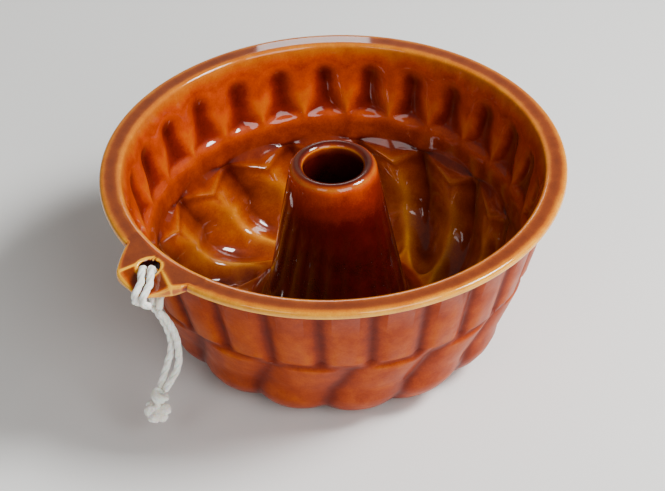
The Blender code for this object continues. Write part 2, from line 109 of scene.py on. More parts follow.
# Adds a node; settings are its own fields, inputs are values, or sockets to link from
def addNode(tree, kind, settings=None, inputs=None):
    node = tree.nodes.new(kind)
    for field, value in (settings or {}).items():
        setattr(node, field, value)
    for socket, value in (inputs or {}).items():
        if isinstance(value, bpy.types.NodeSocket):
            tree.links.new(value, node.inputs[socket])
        else:
            node.inputs[socket].default_value = value
    return node


def setRamp(node, stops):
    ramp = node.color_ramp
    while len(ramp.elements) < len(stops):
        ramp.elements.new(0.5)
    for element, (place, colour) in zip(ramp.elements, stops):
        element.position = place
        element.color = linear(colour)
    return node.outputs["Color"]


def newMaterial(name, values):
    material = bpy.data.materials.new(name)
    material.use_nodes = True
    shader = material.node_tree.nodes["Principled BSDF"]
    for socket, value in values.items():
        shader.inputs[socket].default_value = value
    return material, material.node_tree, shader


# Cotton: soft twisted yarn, matt with a faint sheen of lint, warm white, a little darker in its creases

cotton = {
    "light": "#fffdf6",
    "shade": "#efe7d6",
    "fibreWidth": 0.35,    # millimetres, coarser than real lint so that it shows
    "cloudScale": 220.0,   # cells to a metre: clouds of shade 4.5 mm across
    "fluff": 0.0003,       # how far the lint stands up
}


def makeCotton():
    material, tree, shader = newMaterial("twistedCotton", {
        "Roughness": 0.95, "Sheen Weight": 0.35, "Sheen Roughness": 0.5, "Specular IOR Level": 0.2,
        "Subsurface Weight": 0.25, "Subsurface Scale": 0.0015})
    spot = addNode(tree, "ShaderNodeTexCoord").outputs["Object"]
    lint = addNode(tree, "ShaderNodeTexNoise", inputs={     # its third octave is a fibre wide
        "Vector": spot, "Scale": 1 / (cotton["fibreWidth"] * mm * 4), "Detail": 3.0, "Roughness": 0.6})
    cloud = addNode(tree, "ShaderNodeTexNoise", inputs={
        "Vector": spot, "Scale": cotton["cloudScale"], "Detail": 2.0})
    blend = addNode(tree, "ShaderNodeMath", {"operation": "MULTIPLY"}, {
        0: lint.outputs["Fac"], 1: cloud.outputs["Fac"]})
    ramp = addNode(tree, "ShaderNodeValToRGB", inputs={"Fac": blend.outputs["Value"]})
    colour = setRamp(ramp, [(0.12, cotton["shade"]), (0.34, cotton["light"])])
    tree.links.new(colour, shader.inputs["Base Color"])
    bump = addNode(tree, "ShaderNodeBump", inputs={
        "Strength": 0.35, "Distance": cotton["fluff"], "Height": lint.outputs["Fac"]})
    tree.links.new(bump.outputs["Normal"], shader.inputs["Normal"])
    return material


cottonYarn = makeCotton()


# The cord: one length of three-ply cotton, doubled, hitched through the lug and knotted

cord = {
    "diameter": 0.0035,
    "twist": 0.017,       # length of one turn of the plies
    "plyRadius": 0.00112,
    "plies": 3,
    "spacing": 0.0006,    # between the points of a line
    "sides": 3,           # a tube's bevel resolution
    "endTaper": (0.35, 0.75, 0.95),            # a ply's first radii, as shares of its full one
    "strandGap": 0.0040,
    "hitchGap": 0.0003,   # from a strand's side at the swing axis up to the hitch's ends
    "strandRise": 0.0013,  # from the swing axis up to a strand's top
    "hole": {"x": axisX - 0.1105, "top": 0.096, "under": 0.0906},    # the lug's hole
    "tip": {"x": axisX - 0.124, "top": 0.096, "under": 0.0906},      # and its outer edge
    "swing": (axisX - 0.116, -0.009, 0.0795),  # where the loop swings
    "knot": (-0.0016, -0.0466),                # the knot's top, out from there and down
    "knotTilt": 33.0,
    "tuft": (-0.0062, -0.0562),                # the tuft's middle, the same way
}

# Out from the hole or the lug's tip, along the rim, and up from the lug's top or underside
hitchRoute = (
    ("hole", -0.0055, -0.0067, "under", -0.0056),
    ("hole", -0.0050, -0.0050, "under", -0.0030),
    ("hole", -0.0037, -0.0011, "under", -0.0022),
    ("hole", -0.0027, 0.0016, "under", -0.0006),
    ("hole", -0.0022, 0.0022, "top", -0.0040),
    ("hole", -0.0032, 0.0015, "top", 0.0001),
    ("hole", -0.0064, -0.0014, "top", 0.0005),
    ("hole", -0.0100, -0.0052, "top", -0.0004),
    ("tip", -0.0012, -0.0074, "top", -0.0017),
    ("tip", -0.0020, -0.0073, "top", -0.0052),
    ("tip", -0.0009, -0.0062, "under", -0.0025),
    ("tip", 0.0010, -0.0056, "under", -0.0042),
    ("tip", 0.0022, -0.0088, "under", -0.0042),
    ("tip", 0.0014, -0.0122, "under", -0.0027),
    ("tip", -0.0004, -0.0130, "under", -0.0006),
    ("tip", -0.0013, -0.0121, "top", -0.0049),
    ("tip", -0.0001, -0.0118, "top", -0.0015),
    ("hole", -0.0075, -0.0084, "top", -0.0006),
    ("hole", -0.0033, -0.0041, "top", 0.0007),
    ("hole", -0.0006, -0.0016, "top", 0.0004),
    ("hole", 0.0008, -0.0007, "top", -0.0040),
    ("hole", 0.0007, -0.0014, "under", -0.0007),
    ("hole", 0.0001, -0.0050, "under", -0.0025),
    ("hole", -0.0026, -0.0094, "under", -0.0030),
    ("hole", -0.0053, -0.0112, "under", -0.0056),
)

# Out from the swing axis and down
leftStrand = (
    (0.0, 0.0),
    (0.0014, -0.0026),
    (0.0041, -0.0094),
    (0.0063, -0.0167),
    (0.0074, -0.0234),
    (0.0068, -0.0291),
    (0.0049, -0.0339),
    (0.0026, -0.0386),
    (0.0009, -0.0420),
    (-0.0004, -0.04475),
)
rightStrand = (
    (0.0, 0.0),
    (0.0026, -0.0048),
    (0.0056, -0.0122),
    (0.0075, -0.0195),
    (0.0080, -0.0260),
    (0.0079, -0.0316),
    (0.0069, -0.0364),
    (0.0046, -0.0400),
    (0.0017, -0.0426),
    (-0.0004, -0.04475),
)


def distanceAlong(line):
    return np.concatenate([[0], np.cumsum(np.linalg.norm(np.diff(line, axis=0), axis=1))])


# Evenly spaced points on a smooth curve through the route's own points
def smoothRoute(points):
    route = [Vector(p) for p in points]
    route = [2 * route[0] - route[1], *route, 2 * route[-1] - route[-2]]
    fine = []
    steps = 24
    for before, start, end, after in zip(route, route[1:], route[2:], route[3:]):
        for step in range(steps):
            t = step / steps
            fine.append(0.5 * (
                2 * start + (end - before) * t
                + (2 * before - 5 * start + 4 * end - after) * t ** 2
                + (3 * start - before - 3 * end + after) * t ** 3))
    line = np.array([tuple(p) for p in [*fine, route[-2]]])
    along = distanceAlong(line)
    stations = np.linspace(0, along[-1], round(along[-1] / cord["spacing"]) + 1)
    return np.column_stack([np.interp(stations, along, line[:, axis]) for axis in range(3)])


# Two directions across the line at each of its points, carried along without twisting
def carriedFrame(line):
    ahead = np.gradient(line, axis=0)
    ahead /= np.linalg.norm(ahead, axis=1)[:, None]
    across = [np.cross(ahead[0], (0.31, 0.95, 0.05))]      # from any direction well off the line
    for direction in ahead[1:]:
        carried = across[-1] - direction * across[-1].dot(direction)
        across.append(carried)
    across = np.array([v / np.linalg.norm(v) for v in across])
    return across, np.cross(ahead, across)


# One mesh from several tubes, each a line of points with a radius at each point
def tubesToMesh(name, lines, radii):
    curve = bpy.data.curves.new(name, "CURVE")
    curve.dimensions = "3D"
    curve.bevel_depth = 1.0
    curve.bevel_resolution = cord["sides"]
    curve.use_fill_caps = True
    for line, thick in zip(lines, radii):
        spline = curve.splines.new("POLY")
        spline.points.add(len(line) - 1)
        for spot, place, radius in zip(spline.points, line, thick):
            spot.co = (*place, 1)
            spot.radius = radius
    curve.materials.append(cottonYarn)
    piece = bpy.data.objects.new(name, curve)
    bpy.context.collection.objects.link(piece)
    pick(piece)
    bpy.ops.object.convert(target="MESH")
    piece = bpy.context.view_layer.objects.active
    bpy.ops.object.shade_smooth()
    return piece


# The plies wound round a line, each with rounded ends; start turns the whole twist
def makeTwist(name, line, start=0.0):
    across, beside = carriedFrame(line)
    reach = cord["diameter"] / 2 - cord["plyRadius"]
    lines = []
    for ply in range(cord["plies"]):
        turn = start + 2 * math.pi * (distanceAlong(line) / cord["twist"] + ply / cord["plies"])
        lines.append(line + reach * (np.cos(turn)[:, None] * across + np.sin(turn)[:, None] * beside))
    thick = np.full(len(line), cord["plyRadius"])
    taper = cord["plyRadius"] * np.array(cord["endTaper"])
    thick[:len(taper)] = taper
    thick[-len(taper):] = taper[::-1]
    return tubesToMesh(name, lines, [thick] * cord["plies"])


def hitchLine():
    swingX, swingY, swingZ = cord["swing"]
    top = swingZ + cord["diameter"] / 2 + cord["hitchGap"]
    half = cord["strandGap"] / 2
    middle = [
        (cord[side]["x"] + out, along, cord[side][face] + up)
        for side, out, along, face, up in hitchRoute]
    return smoothRoute([(swingX, swingY + half, top), *middle, (swingX, swingY - half, top)])


def strandLine(route, side):
    swingX, swingY, swingZ = cord["swing"]
    y = swingY + side * cord["strandGap"] / 2
    foot = (swingX + cord["knot"][0], y, swingZ + cord["knot"][1])
    crown = (swingX, y, swingZ + cord["strandRise"])
    return smoothRoute([crown, *[(swingX + out, y, swingZ + up) for out, up in route], foot])


def knotFrame():
    swingX, swingY, swingZ = cord["swing"]
    top = Vector((swingX + cord["knot"][0], swingY, swingZ + cord["knot"][1]))
    return Matrix.Translation(top) @ Matrix.Rotation(math.radians(cord["knotTilt"]), 4, "Y")


knotSizes = {
    "wrapRadius": 0.0027,   # from the knot's axis to the middle of the cord wound round it
    "tucked": 0.35,         # share of that radius at which its ends go in
    "tuckSpeed": 6,         # they come out to the full radius in a sixth of the winding
    "depth": 0.0062,
    "margin": 0.0016,       # from the knot's top and foot to the middle of its end turns
    "wander": 0.0006,       # how far the turns sway up and down
    "turns": 1.9,
    "points": 90,
}


# Two turns of the cord round its own strands, rising as they go, with the ends tucked in
def makeKnot():
    place = knotFrame()
    wound = knotSizes["depth"] - 2 * knotSizes["margin"]
    line = []
    for share in np.arange(knotSizes["points"]) / (knotSizes["points"] - 1):
        turn = 2 * math.pi * knotSizes["turns"] * share
        tuck = min(1.0, knotSizes["tuckSpeed"] * share, knotSizes["tuckSpeed"] * (1 - share))
        radius = knotSizes["wrapRadius"] * (knotSizes["tucked"] + (1 - knotSizes["tucked"]) * tuck)
        sway = knotSizes["wander"] * math.sin(turn + 0.8)
        depth = -knotSizes["margin"] - wound * share + sway
        line.append(place @ Vector((radius * math.cos(turn), radius * math.sin(turn), depth)))
    return makeTwist("knotWraps", np.array([tuple(p) for p in line]))


tuftSizes = {
    "lobes": 11,
    "radius": 0.0026,       # of one frayed end
    "reach": 0.0066,
    "swell": (0.5, 0.7, 1, 0.8, 0.4),          # an end's thickness at these shares of its length
    "swellAt": (0, 0.5, 0.85, 0.96, 1),
    "bend": 0.0005,         # how far an end strays on its way out
    "root": 0.0045,         # where the ends start, down the knot's axis
    "grain": 0.00022,       # voxel that fuses the ends
    "lintSize": 0.0011,
    "lintHeight": 0.0007,
    "seed": 7,
}


# Frayed yarn ends: short fat curls out of the knot, fused and roughened like teased cotton
def makeTuft():
    swingX, swingY, swingZ = cord["swing"]
    heart = Vector((swingX + cord["tuft"][0], swingY, swingZ + cord["tuft"][1]))
    root = knotFrame() @ Vector((0, 0, -tuftSizes["root"]))
    draw = np.random.default_rng(tuftSizes["seed"])
    lines, thick = [], []
    golden = math.pi * (3 - math.sqrt(5))      # the ends spread as seeds in a flower head, from level down
    for index in range(tuftSizes["lobes"]):
        height = 0.55 - 1.5 * (index + 0.5) / tuftSizes["lobes"]
        ring = math.sqrt(1 - height ** 2)
        turn = golden * index + 0.6
        aim = Vector((ring * math.cos(turn), ring * math.sin(turn), height))
        end = heart + aim * tuftSizes["reach"] * draw.uniform(0.85, 1.1)
        bend = heart + aim * 0.0012 + Vector(draw.uniform(-tuftSizes["bend"], tuftSizes["bend"], 3))
        points = smoothRoute([root, heart.lerp(root, 0.5), bend, end])
        swell = np.interp(np.linspace(0, 1, len(points)), tuftSizes["swellAt"], tuftSizes["swell"])
        lines.append(points)
        thick.append(swell * tuftSizes["radius"])
    tuft = tubesToMesh("frayedTuft", lines, thick)
    remesh = tuft.modifiers.new("fuse", "REMESH")
    remesh.mode = "VOXEL"
    remesh.voxel_size = tuftSizes["grain"]
    soften = tuft.modifiers.new("soften", "SMOOTH")
    soften.factor = 0.5
    soften.iterations = 3
    lint = bpy.data.textures.new("lint", "CLOUDS")
    lint.noise_scale = tuftSizes["lintSize"]
    lint.noise_depth = 2
    rough = tuft.modifiers.new("lint", "DISPLACE")
    rough.texture = lint
    rough.texture_coords = "LOCAL"
    rough.strength = tuftSizes["lintHeight"]
    rough.mid_level = 0.55
    applyModifiers(tuft)
    bpy.ops.object.shade_smooth()
    return tuft


def makeCord():
    hitchPath = hitchLine()
    leftPath = strandLine(leftStrand, 1)
    rightPath = strandLine(rightStrand, -1)
    hitch = makeTwist("hitchCord", hitchPath)
    left = makeTwist("leftStrand", leftPath, start=0.4)
    right = makeTwist("rightStrand", rightPath, start=1.7)
    knot = makeKnot()
    tuft = makeTuft()
    for piece, node in ((hitch, "cord_hitch"), (left, "cord_strand_left"), (right, "cord_strand_right"),
                        (knot, "cord_knot"), (tuft, "cord_tuft")):
        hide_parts(node)
        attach(piece, "mould" if piece == hitch else "hanging_loop")


makeCord()
print("cord made")


# Glazed stoneware: a clear amber glaze under a wet gloss, run thin and straw-coloured over its edges,
# pooled thick and nearly black in its hollows, with cloudy mottling and fine specks; its tone also holds
# painted shade in the recesses and down the tube, and a painted highlight on the rim's edges

glaze = {
    "thick": "#1e0302",
    "deep": "#4a0702",
    "red": "#7c1a01",
    "amber": "#b43d02",
    "honey": "#c96304",
    # straw gold of thin glaze, pale enough to stand in for the rim edge's highlight too: a painted highlight
    "thin": "#f3ac1a",
    "ochreDeep": "#4a1001",
    "ochre": "#7d3404",
    "ochreThin": "#bf730c",
    "mottle": 9.0,          # millimetres across one cloud of the mottling
    "mottleDepth": 0.30,
    "speck": 0.8,
    "speckDepth": 0.14,
    "wave": 10.0,           # millimetres across one wave of the surface
    "waveHeight": 0.0008,   # metres, as the bump node takes it
}


def makeGlaze():
    material, tree, shader = newMaterial("amberStonewareGlaze", {
        "Roughness": 0.35, "Specular IOR Level": 0.05, "Coat Roughness": 0.04})
    spot = addNode(tree, "ShaderNodeTexCoord").outputs["Object"]
    edge = addNode(tree, "ShaderNodeAttribute", {"attribute_name": "glazeThin"}).outputs["Fac"]
    tone = addNode(tree, "ShaderNodeAttribute", {"attribute_name": "glazeToneAndShade"}).outputs["Fac"]
    cloud = addNode(tree, "ShaderNodeTexNoise", inputs={
        "Vector": spot, "Scale": 1000 / glaze["mottle"], "Detail": 4.0, "Roughness": 0.6})
    speck = addNode(tree, "ShaderNodeTexNoise", inputs={
        "Vector": spot, "Scale": 1000 / glaze["speck"], "Detail": 2.0})
    uneven = addNode(tree, "ShaderNodeMath", {"operation": "MULTIPLY_ADD"}, {
        0: cloud.outputs["Fac"], 1: glaze["mottleDepth"], 2: -0.5 * glaze["mottleDepth"]})
    fine = addNode(tree, "ShaderNodeMath", {"operation": "MULTIPLY_ADD"}, {
        0: speck.outputs["Fac"], 1: glaze["speckDepth"], 2: -0.5 * glaze["speckDepth"]})
    both = addNode(tree, "ShaderNodeMath", {"operation": "ADD"}, {0: uneven.outputs[0], 1: fine.outputs[0]})
    level = addNode(tree, "ShaderNodeMath", {"operation": "ADD"}, {0: edge, 1: tone})
    level = addNode(tree, "ShaderNodeMath", {"operation": "ADD"}, {0: level.outputs[0], 1: both.outputs[0]})
    redRamp = addNode(tree, "ShaderNodeValToRGB", inputs={"Fac": level.outputs[0]})
    redColour = setRamp(redRamp, [
        (0.0, glaze["thick"]), (0.2, glaze["deep"]), (0.4, glaze["red"]),
        (0.58, glaze["amber"]), (0.76, glaze["honey"]), (1.0, glaze["thin"])])
    ochreRamp = addNode(tree, "ShaderNodeValToRGB", inputs={"Fac": level.outputs[0]})
    ochreColour = setRamp(ochreRamp, [
        (0.0, glaze["thick"]), (0.25, glaze["ochreDeep"]), (0.52, glaze["ochre"]),
        (0.78, glaze["ochreThin"]), (1.0, glaze["thin"])])
    ochre = addNode(tree, "ShaderNodeAttribute", {"attribute_name": "glazeOchre"}).outputs["Fac"]
    blend = addNode(tree, "ShaderNodeMix", {"data_type": "RGBA"}, {      # factor 0, colours 6 and 7
        0: ochre, 6: redColour, 7: ochreColour})
    tree.links.new(blend.outputs[2], shader.inputs["Base Color"])
    wave = addNode(tree, "ShaderNodeTexNoise", inputs={
        "Vector": spot, "Scale": 1000 / glaze["wave"], "Detail": 3.0})
    bump = addNode(tree, "ShaderNodeBump", inputs={
        "Strength": 0.4, "Distance": glaze["waveHeight"], "Height": wave.outputs["Fac"]})
    tree.links.new(bump.outputs["Normal"], shader.inputs["Normal"])
    shine = addNode(tree, "ShaderNodeAttribute", {"attribute_name": "glazeShine"}).outputs["Fac"]
    tree.links.new(shine, shader.inputs["Coat Weight"])
    return material


# The mould, in millimetres

mould = {
    "columns": 780,          # thirty to a flute, fifty-two to a lobe
    "height": 96.0,
    "rimRadius": 110.0,
    "rimWidth": 10.7,
    "rimEdge": 3.8,
    "rimRound": 1.2,
    "innerRound": 2.0,
    "outerRound": 1.9,
    "rimOverhang": 4.5,
    "creaseHeight": 49.5,
    "creaseRadius": 94.5,
    "creaseDepth": 1.2,
    "haunchHeight": 26.0,
    "haunchRadius": 86.0,
    "footRadius": 56.0,
    "footWidth": 10.0,       # the flat ring that it stands on
    "wall": 7.0,
    "floor": 5.8,
    "plainBand": 10.5,       # from the rim down to the niches' arches
    "stepBand": 10.0,        # from the crease up to the step inside
}

flutes = {
    "count": 26,
    "phase": 222.9,          # where the first groove stands
    "outerDepth": 2.6,
    "sharpness": 2.9,        # of the grooves outside
    "footGap": 1.2,          # from the crease up to a flute's foot, and how much higher its groove starts
    "footRise": 1.6,
    "nicheDepth": 3.0,
    "archRise": 4.5,
}

lobes = {
    "count": 15,
    "shift": 21,             # columns from the first flute's groove to the first lobe's
    "outerDepth": 3.0,
    "sharpness": 2.6,
    "outerGap": 1.3,         # from the crease down to a lobe's head outside, and its drop at the grooves
    "outerDrop": 2.6,
    "headRoot": 46.5,
    "headRise": 3.2,
    "headDrop": 6.5,
    "headJut": 4.8,
    "headGap": 0.07,         # half the gap between two heads, as a share of the repeat
    "raised": 3.8,           # how far the ridge under a head's point stands into the ring
    "sunk": 0.6,             # and how far the trough beside it is cut below the wall
    "soft": 0.22,            # roundness of the trough's middle
    "troughEnd": 46.0,       # where the troughs end, rounded, round the tube's foot
    "troughFlare": 8.0,
    "swirlDown": 5.41 / 17.5,      # degrees for each millimetre down the wall
    "swirlInward": 8.7 / 17.5,     # and for each one inward over the floor
    "swirlGain": 0.006,
    "swirlUnder": 6.0,             # degrees more from the haunch outside to the foot
}

tube = {
    "top": 95.3,
    "topRadius": 20.3,
    "footRadius": 34.5,
    "footHeight": 17.0,
    "wall": 5.9,
    "lip": 2.6,
    "flare": 7.5,
}

lug = {
    "reach": 14.0,
    "thickness": 5.4,
    "baseWidth": 41.0,
    "tipWidth": 17.5,
    "corner": 7.0,
    "throat": 9.0,
    "hole": 4.7,
    "holeFromRim": 0.5,
    "holeRound": 1.0,
    "holeAlong": 1.2,
    "blend": 4.0,            # over which the rim thickens into it
    "patch": (90, 24),       # where its finer mesh starts from the axis, and half its width
    "patchEdge": 98,
    "glazed": (100, 22),     # the same for the marks in its glaze
    "gutterDrop": 3.6,
    "gutterBack": 2.1,
    "gutterSpread": 39.5,
    "gutterTurn": 28.5,
}

column = np.arange(mould["columns"])
fluteAt = (column * flutes["count"] / mould["columns"] + 0.5) % 1 - 0.5
lobeAt = ((column - lobes["shift"]) * lobes["count"] / mould["columns"] + 0.5) % 1 - 0.5


# Across one repeat, place runs from 0 at its groove to half at its crest, either way

def valley(place, sharpness):
    blunt = 0.06             # rounds the groove's bottom
    return (1 - 2 * (np.sqrt(place ** 2 + blunt ** 2) - blunt)) ** sharpness


def arch(place):
    return 1 - (1 - 2 * np.abs(place)) ** 2


def beak(place):
    return (2 * np.abs(place)) ** 1.15


def niche(place, fullness):
    return (0.5 - 0.5 * np.cos(2 * np.pi * place)) ** fullness


def smoothStep(value, low, high):
    share = np.clip((value - low) / (high - low), 0, 1)
    return share ** 2 * (3 - 2 * share)


def between(value, low, lowValue, high, highValue):
    return lowValue + (highValue - lowValue) * (value - low) / (high - low)


wallTop = mould["height"] - mould["rimEdge"] - 1.0
stepHeight = mould["creaseHeight"] + mould["stepBand"]


def crestRadius(height):
    upper = between(height, mould["creaseHeight"], mould["creaseRadius"],
                    wallTop, mould["rimRadius"] - mould["rimOverhang"])
    lower = between(height, mould["haunchHeight"], mould["haunchRadius"],
                    mould["creaseHeight"], mould["creaseRadius"])
    return np.where(height >= mould["creaseHeight"], upper, lower)


def insideRadius(height):
    stepRadius = crestRadius(stepHeight) - mould["wall"]
    upper = between(height, stepHeight, stepRadius, mould["height"], mould["rimRadius"] - mould["rimWidth"])
    return np.where(height > stepHeight, upper, crestRadius(height) - mould["wall"])


def tubeRadius(height):
    return between(height, tube["footHeight"], tube["footRadius"], tube["top"], tube["topRadius"])


def haunchPoint(turn, inset, floor):
    angle = turn * math.pi / 2
    reach = mould["haunchRadius"] - inset - mould["footRadius"]
    radius = mould["footRadius"] + reach * math.cos(angle)
    return radius, mould["haunchHeight"] - (mould["haunchHeight"] - floor) * math.sin(angle)


def swirlAt(radius, height):
    down = np.maximum(0, mould["creaseHeight"] - np.maximum(height, mould["haunchHeight"]))
    inward = np.maximum(0, mould["haunchRadius"] - mould["wall"] - lobes["sunk"] - radius)
    return down * lobes["swirlDown"] + inward * lobes["swirlInward"] + lobes["swirlGain"] * inward ** 2


def footSwirl():
    return swirlAt(mould["haunchRadius"], 0) + lobes["swirlUnder"]


# One half of the lug's outline, as radii at angles from its middle, with its corners rounded
def lugOutline():
    tip = mould["rimRadius"] + lug["reach"]
    corners = [
        (mould["rimRadius"] - 7, lug["baseWidth"] / 2 + 1), (mould["rimRadius"] - 1, lug["baseWidth"] / 2),
        (tip, lug["tipWidth"] / 2), (tip, -lug["tipWidth"] / 2)]
    steps = 12
    points = [Vector(corners[0])]
    for before, here, after, fillet in zip(corners, corners[1:], corners[2:], (lug["throat"], lug["corner"])):
        here = Vector(here)
        back = (Vector(before) - here).normalized()
        ahead = (Vector(after) - here).normalized()
        half = back.angle(ahead) / 2
        centre = here + (back + ahead).normalized() * fillet / math.sin(half)
        first = here + back * fillet / math.tan(half) - centre
        last = here + ahead * fillet / math.tan(half) - centre
        for step in range(steps + 1):
            points.append(centre + first.slerp(last, step / steps).normalized() * fillet)
    points.append(Vector((tip, 0)))
    turns = [math.degrees(math.atan2(p.y, p.x)) for p in points]
    return turns[::-1], [p.length for p in points][::-1]


rows = []


# A ring of points, with its glaze: tone from thick to thin, with painted shade in some rows, how ochre and
# how glossy
def addRow(radius, height, swirl=0.0, tone=0.5, ochre=0.0, shine=1.0):
    values = (radius, height, swirl, tone, ochre, shine)
    rows.append([np.broadcast_to(value, column.shape) for value in values])


def addOuterWall():
    # tone: darker in the grooves and along the crease, painted shade on top of the glaze pooled there
    lobeGroove = valley(lobeAt, lobes["sharpness"])
    fluteGroove = valley(fluteAt, flutes["sharpness"])
    dull = {"ochre": 0.4, "shine": 0.1}
    for radius in (mould["footRadius"] - mould["footWidth"], mould["footRadius"] - 1):
        addRow(radius, 0, footSwirl(), 0.35, **dull)
    for turn in (0.98, 0.91, 0.8, 0.67, 0.54, 0.4, 0.27, 0.14, 0.0):
        radius, height = haunchPoint(turn, 0, 0)
        sink = lobes["outerDepth"] * np.interp(turn, (0.42, 0.62, 0.82, 1.0), (1, 0.8, 0.35, 0))
        angle = turn * math.pi / 2
        sunk = height + sink * lobeGroove * math.sin(angle)
        swirl = swirlAt(mould["haunchRadius"], sunk) + lobes["swirlUnder"] * turn
        addRow(radius - sink * lobeGroove * math.cos(angle), sunk, swirl, 0.5 - 0.1 * lobeGroove, **dull)
    head = mould["creaseHeight"] - lobes["outerGap"] - lobes["outerDrop"] * (1 - arch(lobeAt))
    for share in (0.28, 0.56, 0.82):
        height = mould["haunchHeight"] + share * (head - mould["haunchHeight"])
        addRow(crestRadius(height) - lobes["outerDepth"] * lobeGroove, height,
               swirlAt(mould["haunchRadius"], height), 0.52 - 0.1 * lobeGroove, **dull)
    for drop, sink in ((1.9, 0.08), (0.9, 0.4), (0.0, 1.0)):
        height = head - drop
        groove = np.maximum(lobes["outerDepth"] * lobeGroove, mould["creaseDepth"] * sink)
        addRow(crestRadius(height) - groove, height, swirlAt(mould["haunchRadius"], height),
               0.52 - 0.05 * sink - 0.08 * lobeGroove, **dull)
    addRow(mould["creaseRadius"] - mould["creaseDepth"] - 0.25, mould["creaseHeight"], tone=0.42, **dull)
    low = mould["creaseHeight"] + flutes["footGap"] + flutes["footRise"] * fluteGroove
    for lift, sink in ((0.0, 1.0), (0.9, 0.4), (1.9, 0.08)):
        height = low + lift
        groove = np.maximum(flutes["outerDepth"] * fluteGroove, mould["creaseDepth"] * sink)
        addRow(crestRadius(height) - groove, height, tone=0.53 - 0.05 * sink - 0.1 * fluteGroove, **dull)
    for share in (0.5, 0.985):
        height = low + 2 + share * (wallTop - low - 2)
        addRow(crestRadius(height) - flutes["outerDepth"] * fluteGroove, height,
               tone=0.53 - 0.11 * fluteGroove, **dull)


def addRim():
    turn = (flutes["phase"] + column * 360 / mould["columns"]) % 360 - 180
    turns, radii = lugOutline()
    outer = np.maximum(mould["rimRadius"], np.interp(np.abs(turn), turns, radii))
    inner = mould["rimRadius"] - mould["rimWidth"]
    lugness = np.clip((outer - mould["rimRadius"]) / lug["blend"], 0, 1)
    top = mould["height"]
    under = top - mould["rimEdge"] - (lug["thickness"] - mould["rimEdge"]) * lugness
    # darker in the corner under the rim's overhang, painted shade on top of the glaze pooled there
    addRow(mould["rimRadius"] - 0.7 * mould["rimOverhang"], top - mould["rimEdge"] - 0.2, tone=0.3)
    addRow(0.5 * (outer + mould["rimRadius"]) - 2, under, tone=0.45, ochre=0.4)
    for angle in np.radians((0, 45, 90)):
        addRow(outer - mould["rimRound"] * (1 - math.sin(angle)),
               under + mould["rimRound"] * (1 - math.cos(angle)), tone=0.5, ochre=0.4)
    arc = np.radians((0, 30, 60, 90))
    for angle in arc[::-1]:
        addRow(outer - mould["outerRound"] * (1 - math.sin(angle)),
               top - mould["outerRound"] * (1 - math.cos(angle)), tone=0.46, ochre=0.5)
    span = outer - inner - mould["outerRound"] - mould["innerRound"]
    for share in (0.13, 0.28, 0.43, 0.57, 0.72, 0.87):
        addRow(outer - mould["outerRound"] - share * span, top, tone=0.42, ochre=0.9)
    for angle in arc:
        addRow(inner + mould["innerRound"] * (1 - math.sin(angle)),
               top - mould["innerRound"] * (1 - math.cos(angle)), tone=0.46, ochre=0.5)


# Broad ridges that narrow to points on the step, and the rounded niches between them
def addInnerFlutes():
    archLine = mould["height"] - mould["plainBand"] - flutes["archRise"] * (1 - arch(fluteAt))
    deep = flutes["nicheDepth"]
    plain = archLine + 3.5
    addRow(insideRadius(plain), plain, tone=0.5)
    # tone: the niches are darker than the ridges, painted shade on top of the glaze pooled in them
    for drop, sink, fullness in (
            (-1.8, 0.0, 1.3), (0.2, 0.13, 1.3), (2.2, 0.42, 1.4), (4.4, 0.76, 1.6), (7.0, 0.97, 1.7)):
        height = archLine - drop
        addRow(insideRadius(height) + sink * deep * niche(fluteAt, fullness), height,
               tone=0.54 - 0.22 * sink * niche(fluteAt, fullness))
    foot = stepHeight + 0.8
    for share, fullness, sink in (
            (0.74, 1.5, 1.0), (0.54, 1.2, 1.0), (0.37, 0.9, 1.0), (0.22, 0.62, 0.98), (0.1, 0.42, 0.86)):
        height = foot + share * (archLine - 6.5 - foot)
        addRow(insideRadius(height) + sink * deep * niche(fluteAt, fullness), height,
               tone=0.63 - 0.3 * niche(fluteAt, fullness))
    for lift, sink in ((0.9, 0.56), (0.1, 0.3), (-0.8, 0.12), (-2.2, 0.0)):
        height = stepHeight + lift
        addRow(insideRadius(height) + sink * deep * niche(fluteAt, 0.4), height, tone=0.52, ochre=0.2)


# How far a lobe stands in from the wall: a soft ridge at its edges, a round trough down its middle
def lobeRise(power):
    far = 1 - 2 * np.abs(lobeAt)
    soft = lobes["soft"]
    ridge = 1 - (np.sqrt(far ** 2 + soft ** 2) - soft) / (math.sqrt(1 + soft ** 2) - soft)
    return (lobes["raised"] + lobes["sunk"]) * np.maximum(ridge, 0) ** power - lobes["sunk"]


